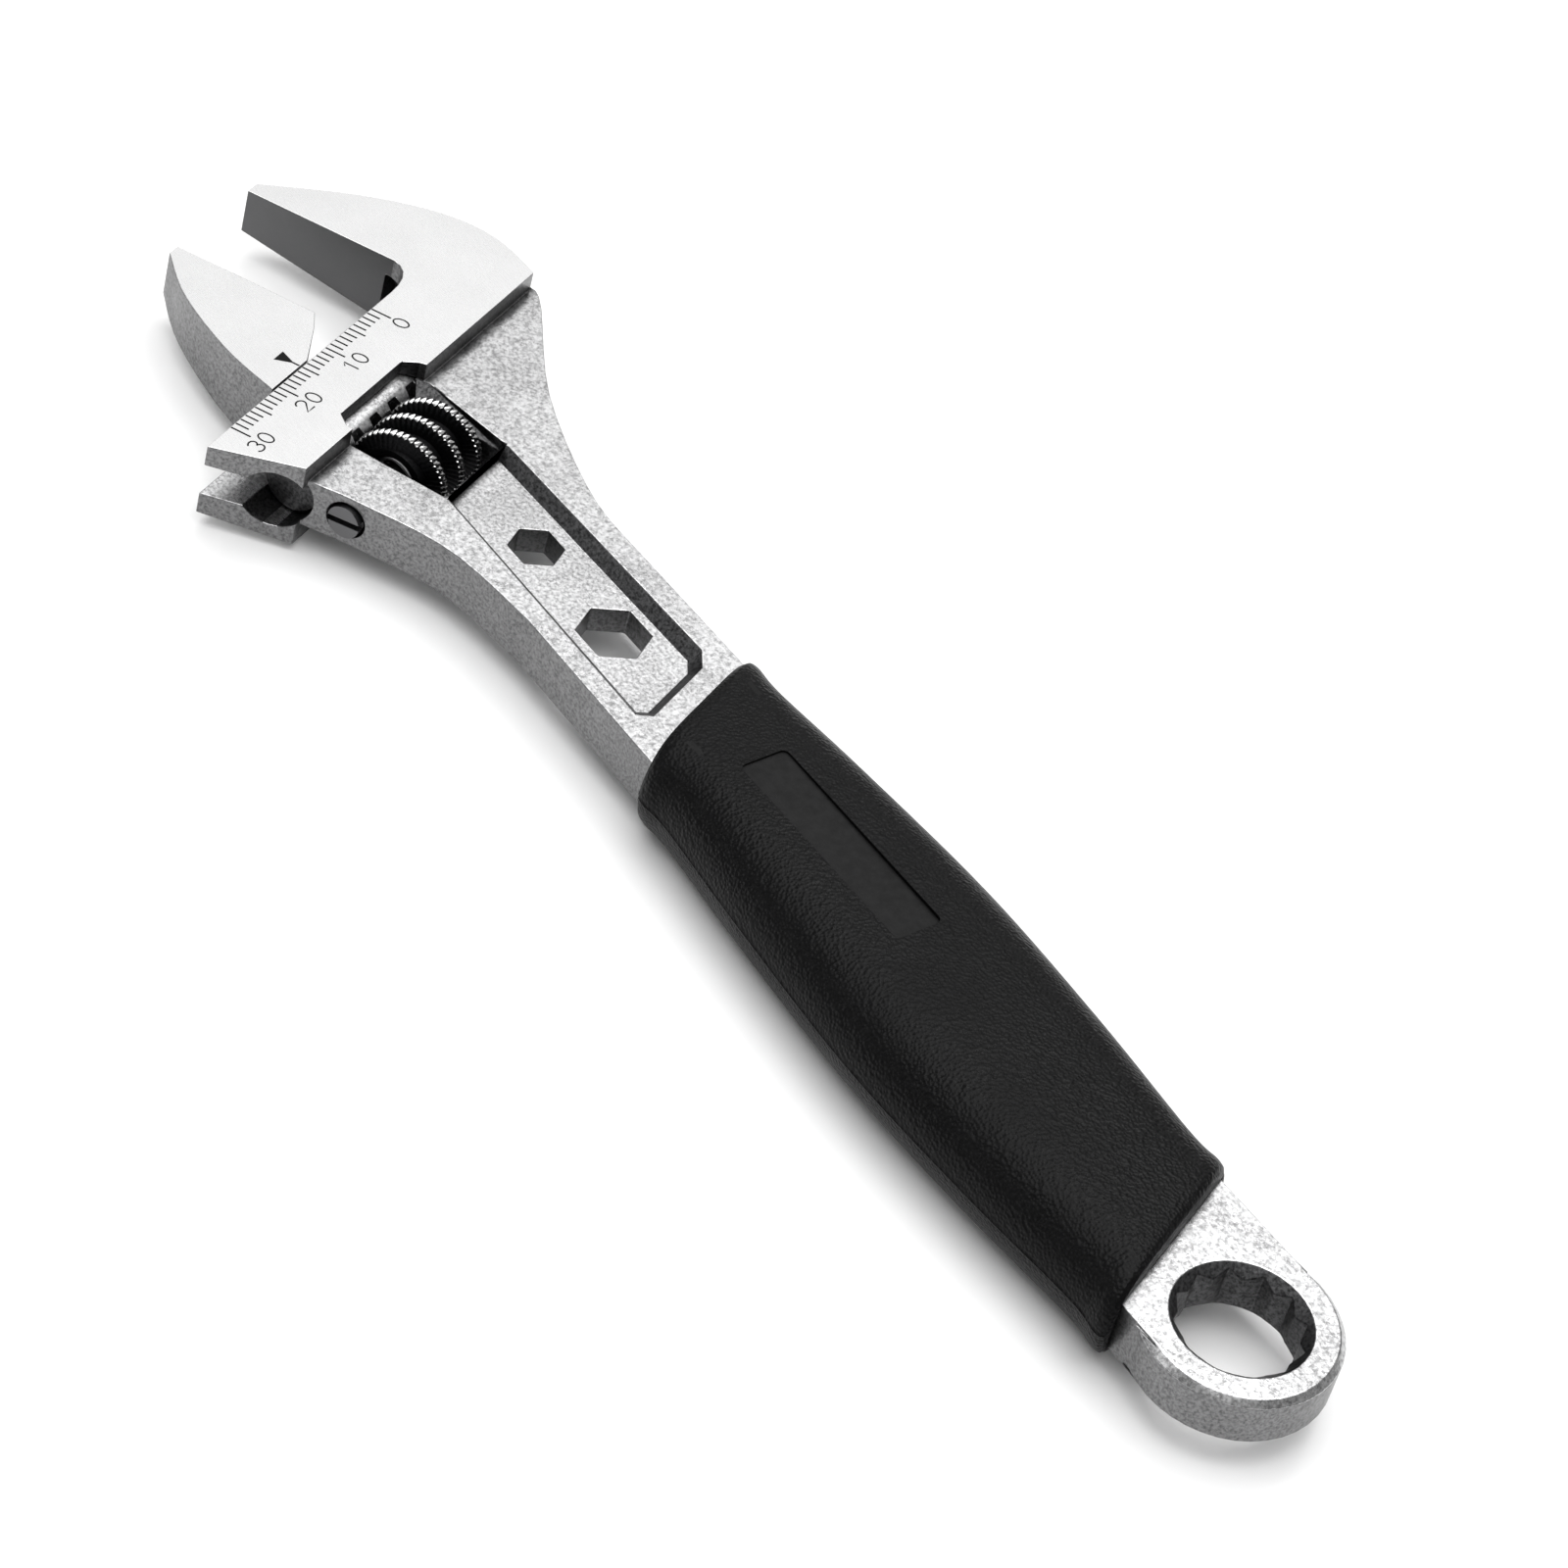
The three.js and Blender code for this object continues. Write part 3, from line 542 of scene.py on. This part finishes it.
class WRENCH_OT_worm(bpy.types.Operator):
    """Builds the adjusting worm with beads knurled into the crests of its thread"""
    bl_idname = "wrench.worm"
    bl_label = "Adjusting worm"

    crest_offsets = (-0.5, -0.34, -0.17, 0, 0.17, 0.34, 0.5)
    columns_per_bead = 6
    crest_shoulder = 0.16 * MM
    groove_sharpness = 1.5
    sharp_angle = 40

    def crest_drop(self, across, turn, sizes):
        """How far the knurl lowers the crest; the beads are round on top and lean along the thread."""
        phase = turn * sizes.beads / (2 * math.pi) + sizes.bead_slant * across / THREAD_CREST
        groove = 1 - abs(math.sin(math.pi * phase))
        shoulder = (2 * abs(across) / THREAD_CREST) ** 3
        return sizes.bead_depth * groove ** self.groove_sharpness + self.crest_shoulder * shoulder

    def radius_at(self, along, turn, sizes):
        """The thread's radius at a distance along the axis from the middle of a crest."""
        across = (along + THREAD_PITCH / 2) % THREAD_PITCH - THREAD_PITCH / 2
        if abs(across) <= THREAD_CREST / 2:
            return WORM_RADIUS - self.crest_drop(across, turn, sizes)
        edge = WORM_RADIUS - self.crest_drop(math.copysign(THREAD_CREST / 2, across), turn, sizes)
        fallen = (abs(across) - THREAD_CREST / 2) / THREAD_FLANK
        return max(WORM_RADIUS - THREAD_DEPTH, min(edge, WORM_RADIUS - fallen))

    def column(self, turn, sizes, low, high):
        """One section through the worm, as distance along the axis and radius, closed through the bore."""
        middle = THREAD_PHASE - THREAD_PITCH * turn / (2 * math.pi)
        foot = THREAD_CREST / 2 + THREAD_DEPTH * THREAD_FLANK
        steps = [-foot] + [offset * THREAD_CREST for offset in self.crest_offsets] + [foot]
        first = math.floor((low - THREAD_PHASE) / THREAD_PITCH) - 1
        last = math.ceil((high - THREAD_PHASE) / THREAD_PITCH) + 2
        points = []
        for k in range(first, last + 1):
            for step in steps:
                along = min(high, max(low, middle + k * THREAD_PITCH + step))
                points.append((along, self.radius_at(along - middle, turn, sizes)))
        shoulder = high - SPRING_POCKET_DEPTH
        inner = [(high, SPRING_POCKET_RADIUS), (shoulder, SPRING_POCKET_RADIUS),
                 (shoulder, WORM_BORE), (low, WORM_BORE)]
        return points + inner, len(points), len(steps)

    def execute(self, context):
        scene = context.scene
        sizes = scene.wrench_sizes
        low, high = -WORM_LENGTH / 2, WORM_LENGTH / 2
        columns = sizes.beads * self.columns_per_bead
        worm = bmesh.new()
        rows = []
        for i in range(columns + 1):
            turn = 2 * math.pi * i / columns
            section, outer, per_thread = self.column(turn, sizes, low, high)
            spoke = math.cos(turn) * T_AXIS + math.sin(turn) * Z_AXIS
            rows.append([worm.verts.new(WORM_AXIS_POINT + along * S_AXIS + radius * spoke)
                         for along, radius in section])
        count = len(rows[0])
        for i, (here, there) in enumerate(zip(rows, rows[1:])):
            for k in range(count):
                after = (k + 1) % count
                face = worm.faces.new((here[k], here[after], there[after], there[k]))
                face.smooth = True
                on_crest = k < outer and 0 < k % per_thread < per_thread - 2
                on_bead = 0 < i % self.columns_per_bead < self.columns_per_bead - 1
                face.material_index = int(on_crest and on_bead)
        bmesh.ops.remove_doubles(worm, verts=worm.verts, dist=WORM_WELD)
        bmesh.ops.dissolve_degenerate(worm, dist=WORM_WELD, edges=worm.edges)
        outward(worm)
        for edge in worm.edges:
            if len(edge.link_faces) == 2 and edge.calc_face_angle() > math.radians(self.sharp_angle):
                edge.smooth = False
        piece = add_piece("knurled_worm", worm, "worm", ["adjusting_worm"])
        colours = scene.wrench_finishes
        use_materials(piece,
                      forged_metal("blackened_thread", colours.blackened, 0.38, grain=1500, depth=0.02 * MM,
                                   contrast=0.4),
                      ground_metal("worn_crest", colours.crest, 0.24))
        return {"FINISHED"}


class WRENCH_OT_pin_and_spring(bpy.types.Operator):
    """Finishes the slotted worm pin and winds the spring that takes up the worm's play"""
    bl_idname = "wrench.pin_and_spring"
    bl_label = "Worm pin and spring"

    pin_round = 0.25 * MM
    points_per_turn = 28

    def execute(self, context):
        colours = context.scene.wrench_finishes
        pin = add_piece("slotted_pin", frame_copy("worm_pin", lambda centre, normal: 0), "wrench",
                        ["worm_pin"])
        use_materials(pin, ground_metal("pin_steel", colours.pin, 0.34))
        rounded_edges(pin, self.pin_round)

        wire = bpy.data.curves.new("spring_wire", "CURVE")
        wire.dimensions = "3D"
        wire.bevel_depth = SPRING_WIRE
        wire.bevel_resolution = 4
        wire.use_fill_caps = True
        start = WORM_LENGTH / 2 - SPRING_POCKET_DEPTH + SPRING_CLEARANCE + SPRING_WIRE
        stop = WORM_LENGTH / 2 - SPRING_WIRE
        coil = SPRING_POCKET_RADIUS - SPRING_CLEARANCE - SPRING_WIRE
        steps = math.ceil(SPRING_TURNS * self.points_per_turn)
        path = wire.splines.new("POLY")
        path.points.add(steps)
        for i, point in enumerate(path.points):
            turn = 2 * math.pi * SPRING_TURNS * i / steps
            along = start + (stop - start) * i / steps
            spoke = math.cos(turn) * T_AXIS + math.sin(turn) * Z_AXIS
            point.co = (*(WORM_AXIS_POINT + along * S_AXIS + coil * spoke), 1)
        spring = bpy.data.objects.new("wound_spring", wire)
        context.scene.collection.objects.link(spring)
        wire.materials.append(ground_metal("spring_wire", colours.spring, 0.3))
        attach(spring, "wrench")
        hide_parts("worm_spring")
        return {"FINISHED"}


class WRENCH_OT_scale(bpy.types.Operator):
    """Prints the millimetre scale and its numerals on the head, and the index arrow on the jaw"""
    bl_idname = "wrench.scale"
    bl_label = "Scale and index arrow"

    longest_opening = 30
    zero_at = 10 * MM
    edge_margin = 0.12 * MM
    numeral_drop = 3.35 * MM
    digit_spacing = 2.05 * MM
    arrow_at = 25 * MM
    arrow_line = (0.35 * MM, 1.1 * MM)
    arrow_overlap = 0.3 * MM
    arrow_base = 3.4 * MM
    arrow_width = 2.0 * MM

    glyphs = {
        "0": [(arc((0, 0.5), (0.33, 0.5), 0, 345, 23), True)],
        "1": [([Vector((-0.2, 0.76)), Vector((0.06, 1)), Vector((0.06, 0))], False)],
        "2": [(arc((0, 0.7), (0.32, 0.3), 165, -30) + [Vector((-0.33, 0)), Vector((0.35, 0))], False)],
        "3": [(arc((0, 0.75), (0.29, 0.25), 155, -75) + arc((0, 0.27), (0.33, 0.27), 75, -155), False)],
    }

    def on_steel(self, height):
        return lambda point, side: on_head(point.x, point.y, height if side > 0 else -height)

    def execute(self, context):
        scene = context.scene
        sizes = scene.wrench_sizes
        place = self.on_steel(sizes.mark_height)
        marks = bmesh.new()
        for value in range(self.longest_opening + 1):
            length = sizes.minor_mark
            if value % 10 == 0:
                length = sizes.major_mark
            elif value % 5 == 0:
                length = sizes.middle_mark
            s = self.zero_at + value * MM
            stroke(marks, [Vector((s, -self.edge_margin)), Vector((s, -length))], sizes.mark_width, place)
        numerals = bmesh.new()
        for value in range(0, self.longest_opening + 1, 10):
            text = str(value)
            for i, digit in enumerate(text):
                shift = (i - (len(text) - 1) / 2) * self.digit_spacing
                middle = self.zero_at + value * MM - shift
                foot = -self.numeral_drop - sizes.digit_height
                for path, closed in self.glyphs[digit]:
                    points = [Vector((middle - p.x * sizes.digit_height, foot + p.y * sizes.digit_height))
                              for p in path]
                    stroke(numerals, points, sizes.digit_stroke, place, closed)
        arrow = bmesh.new()
        start, tip = self.arrow_line
        stroke(arrow, [Vector((self.arrow_at, start)), Vector((self.arrow_at, tip + self.arrow_overlap))],
               sizes.mark_width, place)
        half = self.arrow_width / 2
        outline = [Vector((self.arrow_at, tip)), Vector((self.arrow_at - half, self.arrow_base)),
                   Vector((self.arrow_at + half, self.arrow_base))]
        loft(arrow, [[place(p, -1) for p in outline], [place(p, 1) for p in outline]])
        ink = moulded_plastic("etched_ink", scene.wrench_finishes.ink, 0.5, 0.12 * MM, 0.004 * MM)
        for name, builder, body, slot in (
            ("scale_marks", marks, "wrench", "chromed_forging"),
            ("scale_numerals", numerals, "wrench", "chromed_forging"),
            ("index_arrow", arrow, "jaw", "ground_steel"),
        ):
            outward(builder)
            use_materials(add_piece(name, builder, body), ink)
        return {"FINISHED"}


class WRENCH_OT_grip(bpy.types.Operator):
    """Builds the moulded grip with its parting line, rounded lips and label recesses"""
    bl_idname = "wrench.grip"
    bl_label = "Moulded grip"

    points_round = 112
    rings_between = 7
    lip_round = 0.55 * MM
    lip_steps = 4
    crisp_angle = 38
    tool_reach = 5 * MM
    floor_tolerance = 0.01 * MM

    def section(self, station, half_width, half_thick, seam):
        ring = []
        for i in range(self.points_round):
            angle = 2 * math.pi * i / self.points_round
            across, up = math.cos(angle), math.sin(angle)
            y = half_width * math.copysign(abs(across) ** (2 / GRIP_FLATNESS), across)
            z = half_thick * math.copysign(abs(up) ** (2 / GRIP_SHOULDER), up)
            if i % (self.points_round // 2) == 0:
                y += math.copysign(seam, across)
            ring.append(RING_CENTRE + Vector((station + y * HEAD_SLANT, y, z)))
        return ring

    def rows(self):
        """Stations joined by a smooth curve, with a rounded lip at each end."""
        stations = [Vector(row) * MM for row in GRIP_STATIONS]
        padded = [stations[0]] + stations + [stations[-1]]
        rows = []
        for before, here, there, after in zip(padded, padded[1:], padded[2:], padded[3:]):
            for i in range(self.rings_between):
                u = i / self.rings_between
                lead, trail = (there - before) / 2, (after - here) / 2
                rows.append(here * (2 * u**3 - 3 * u**2 + 1) + lead * (u**3 - 2 * u**2 + u)
                            + there * (3 * u**2 - 2 * u**3) + trail * (u**3 - u**2))
        rows.append(stations[-1])
        lips = []
        for i in range(self.lip_steps):
            angle = math.pi / 2 * i / self.lip_steps
            inset = self.lip_round * (1 - math.sin(angle))
            lips.append((inset, self.lip_round * math.cos(angle)))
        front = [Vector((rows[0].x - back + self.lip_round, rows[0].y - inset, rows[0].z - inset))
                 for inset, back in lips]
        rear = [Vector((rows[-1].x + back - self.lip_round, rows[-1].y - inset, rows[-1].z - inset))
                for inset, back in lips]
        inside = [row for row in rows
                  if rows[0].x + self.lip_round <= row.x <= rows[-1].x - self.lip_round]
        return front + inside + rear[::-1]

    def cutter(self, name, outline, low, high):
        builder = bmesh.new()
        loft(builder, [[RING_CENTRE + Vector((p.x, p.y, z)) for p in outline] for z in (low, high)])
        outward(builder)
        mesh = bpy.data.meshes.new(name)
        builder.to_mesh(mesh)
        builder.free()
        tool = bpy.data.objects.new(name, mesh)
        bpy.context.scene.collection.objects.link(tool)
        return tool

    def label_outline(self):
        half_length = LABEL_LENGTH / 2 - LABEL_CORNER
        half_width = LABEL_WIDTH / 2 - LABEL_CORNER
        outline = []
        for quarter, (sx, sy) in enumerate(((1, 1), (-1, 1), (-1, -1), (1, -1))):
            outline += arc((LABEL_CENTRE + sx * half_length, sy * half_width), (LABEL_CORNER, LABEL_CORNER),
                           90 * quarter, 90 * quarter + 90, 6)
        return outline

    def execute(self, context):
        scene = context.scene
        sizes = scene.wrench_sizes
        sleeve = bmesh.new()
        loft(sleeve, [self.section(*row, sizes.parting_line) for row in self.rows()])
        outward(sleeve)
        piece = add_piece("moulded_grip", sleeve, "wrench", ["grip_sleeve"])
        wide, narrow, thick = GRIP_HALF_CAVITY
        cavity = [Vector((0, wide)), Vector((0, -wide)), Vector((GRIP_CAVITY_END, -narrow - GRIP_CAVITY_SKEW)),
                  Vector((GRIP_CAVITY_END, narrow))]
        floor = max(row[2] for row in GRIP_STATIONS) * MM - LABEL_DEPTH
        above = floor + self.tool_reach
        tools = [
            self.cutter("cavity_tool", cavity, -thick, thick),
            self.cutter("upper_label_tool", self.label_outline(), floor, above),
            self.cutter("lower_label_tool", self.label_outline(), -above, -floor),
        ]
        for tool in tools:
            cut = piece.modifiers.new(tool.name, "BOOLEAN")
            cut.operation = "DIFFERENCE"
            cut.solver = "EXACT"
            cut.object = tool
        bpy.context.view_layer.update()
        shaped = bpy.data.meshes.new_from_object(piece.evaluated_get(bpy.context.evaluated_depsgraph_get()))
        piece.modifiers.clear()
        piece.data = shaped
        for tool in tools:
            bpy.data.objects.remove(tool)
        colours = scene.wrench_finishes
        use_materials(piece, moulded_plastic("pebbled_grip", colours.grip, 0.36, 0.42 * MM, 0.14 * MM),
                      moulded_plastic("smooth_recess", colours.label, 0.42, 0.3 * MM, 0.01 * MM))
        for polygon in shaped.polygons:
            height = abs(polygon.center.z - RING_CENTRE.z)
            on_floor = abs(height - floor) < self.floor_tolerance and abs(polygon.normal.z) > SQUARE
            polygon.material_index = int(on_floor)
        rounded_edges(piece, sizes.moulding_round, self.crisp_angle)
        return {"FINISHED"}


class WRENCH_OT_stage(bpy.types.Operator):
    """Lays the pale floor and sets the soft lights and the camera"""
    bl_idname = "wrench.stage"
    bl_label = "Stage"

    floor_reach = 4.0
    sensor_width = 36
    # Metres: each light's width and height, and how far it stands from where the camera looks.
    key_size, key_away = (1.1, 0.9), 1.3
    fill_size, fill_aside, fill_back, fill_up = (0.8, 0.5), 1.0, 0.4, 0.5
    glint_size, glint_away, glint_lift, glint_aside = (0.16, 0.16), 1.2, 0.75, 0.3
    overhead_size, overhead_up = (2.0, 2.0), 1.5

    def soft_light(self, name, place, aim, extent, power):
        light = bpy.data.lights.new(name, "AREA")
        light.shape = "RECTANGLE"
        light.size, light.size_y = extent
        light.energy = power
        lamp = bpy.data.objects.new(name, light)
        lamp.location = place
        lamp.rotation_euler = (aim - place).to_track_quat("-Z", "Y").to_euler()
        bpy.context.scene.collection.objects.link(lamp)

    def execute(self, context):
        scene = context.scene
        stage = scene.wrench_stage
        floor = bmesh.new()
        corners = [(-1, -1), (1, -1), (1, 1), (-1, 1)]
        floor.faces.new([floor.verts.new((x * self.floor_reach, y * self.floor_reach, 0)) for x, y in corners])
        mesh = bpy.data.meshes.new("studio_floor")
        floor.to_mesh(mesh)
        floor.free()
        ground = bpy.data.objects.new("studio_floor", mesh)
        scene.collection.objects.link(ground)
        shader = Shader("floor_paint", scene.wrench_finishes.floor, 0.7, 0)
        use_materials(ground, shader.wear(Roughness=shader.between(shader.noise(12), 0.65, 0.8)))

        aim = Vector(stage.camera_aim)
        place = Vector(stage.camera_place)
        view = (aim - place).normalized()
        mirror = Vector((view.x, view.y, -view.z))
        self.soft_light("key_light", aim + mirror * self.key_away, aim, self.key_size, stage.key_power)
        side = view.cross(Z_AXIS).normalized()
        aside = side * -self.fill_aside - view * self.fill_back + Z_AXIS * self.fill_up
        self.soft_light("fill_light", aim + aside, aim, self.fill_size, stage.fill_power)
        glint = (mirror + Z_AXIS * self.glint_lift + side * self.glint_aside).normalized()
        self.soft_light("glint_light", aim + glint * self.glint_away, aim, self.glint_size, stage.glint_power)
        self.soft_light("overhead_light", aim + Z_AXIS * self.overhead_up, aim, self.overhead_size,
                        stage.overhead_power)

        world = scene.world or bpy.data.worlds.new("studio")
        scene.world = world
        world.use_nodes = True
        background = world.node_tree.nodes["Background"]
        background.inputs["Color"].default_value = (1, 1, 1, 1)
        background.inputs["Strength"].default_value = stage.sky

        scene.view_settings.view_transform = "Standard"

        lens = bpy.data.cameras.new("camera")
        lens.lens = stage.lens
        lens.sensor_width = self.sensor_width
        camera = bpy.data.objects.new("camera", lens)
        facing = view.to_track_quat("-Z", "Y").to_matrix().to_4x4()
        roll = Matrix.Rotation(stage.camera_roll, 4, "Z")
        camera.matrix_world = Matrix.Translation(place) @ facing @ roll
        scene.collection.objects.link(camera)
        scene.camera = camera
        return {"FINISHED"}


class WRENCH_PT_panel(bpy.types.Panel):
    """Lists the wrench's pieces, sizes, finishes and painted shades"""
    bl_idname = "WRENCH_PT_panel"
    bl_label = "Adjustable wrench"
    bl_space_type = "VIEW_3D"
    bl_region_type = "UI"
    bl_category = "Wrench"

    def draw(self, context):
        for operator in OPERATORS:
            self.layout.operator(operator.bl_idname)
        for settings in (context.scene.wrench_sizes, context.scene.wrench_finishes, context.scene.wrench_stage):
            box = self.layout.box()
            for name in settings.__annotations__:
                box.prop(settings, name)


OPERATORS = (
    WRENCH_OT_body,
    WRENCH_OT_jaw,
    WRENCH_OT_worm,
    WRENCH_OT_pin_and_spring,
    WRENCH_OT_scale,
    WRENCH_OT_grip,
    WRENCH_OT_stage,
)
SETTINGS = (
    ("wrench_sizes", WrenchSizes),
    ("wrench_finishes", WrenchFinishes),
    ("wrench_stage", WrenchStage),
)


def register():
    for name, group in SETTINGS:
        bpy.utils.register_class(group)
        setattr(bpy.types.Scene, name, PointerProperty(type=group))
    for operator in OPERATORS:
        bpy.utils.register_class(operator)
    bpy.utils.register_class(WRENCH_PT_panel)


def unregister():
    bpy.utils.unregister_class(WRENCH_PT_panel)
    for operator in reversed(OPERATORS):
        bpy.utils.unregister_class(operator)
    for name, group in reversed(SETTINGS):
        delattr(bpy.types.Scene, name)
        bpy.utils.unregister_class(group)


def main():
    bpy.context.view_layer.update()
    register()
    bpy.ops.wrench.body()
    bpy.ops.wrench.jaw()
    bpy.ops.wrench.worm()
    bpy.ops.wrench.pin_and_spring()
    bpy.ops.wrench.scale()
    bpy.ops.wrench.grip()
    bpy.ops.wrench.stage()
    bpy.context.view_layer.update()


if __name__ == "__main__":
    main()
